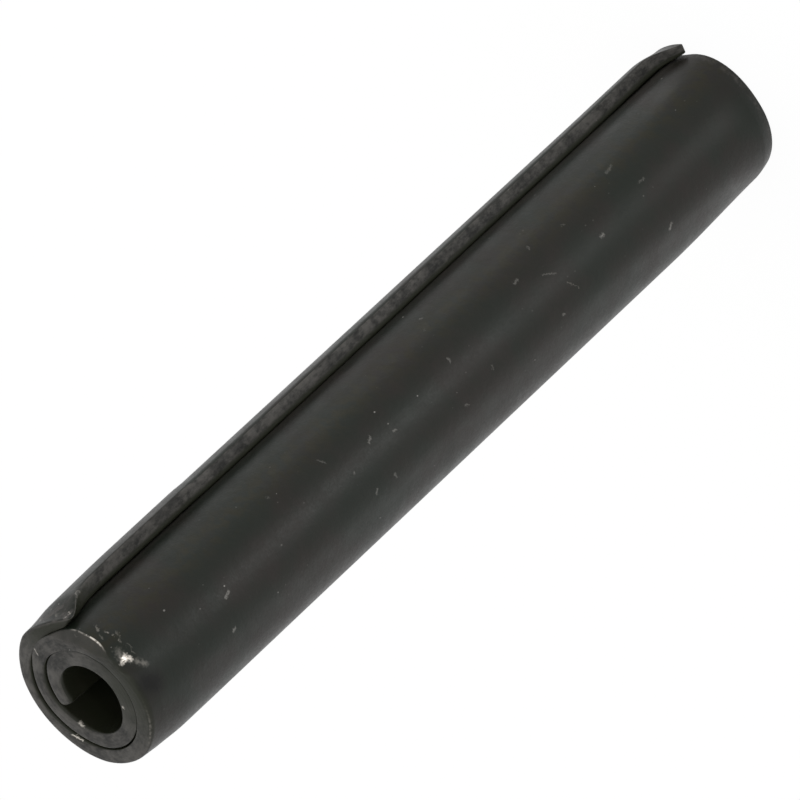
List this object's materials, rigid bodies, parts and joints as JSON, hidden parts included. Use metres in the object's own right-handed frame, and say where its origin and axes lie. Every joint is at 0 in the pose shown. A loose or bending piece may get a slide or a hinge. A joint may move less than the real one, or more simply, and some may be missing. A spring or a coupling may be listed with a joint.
{
  "type": "coiled spring pin",
  "caption": "Coiled spring roll pin: one strip of dark spring steel wound two and a bit turns on itself, with swaged, tapered ends for pressing into a drilled hole.",
  "frame": {"origin": "centre of the pin's outline, on the lower end face", "axes": "+Z along the pin's axis, up from the end it stands on; the strip's outer end, the open seam, runs the whole length at 25 degrees clockwise from +X seen from above"},
  "size_m": [0.0084, 0.008, 0.05],
  "materials": {
    "spring_steel": "dark phosphated and oiled spring steel, satin"
  },
  "bodies": {
    "root": {"coiled_pin": "spring_steel"}
  },
  "joints": []
}
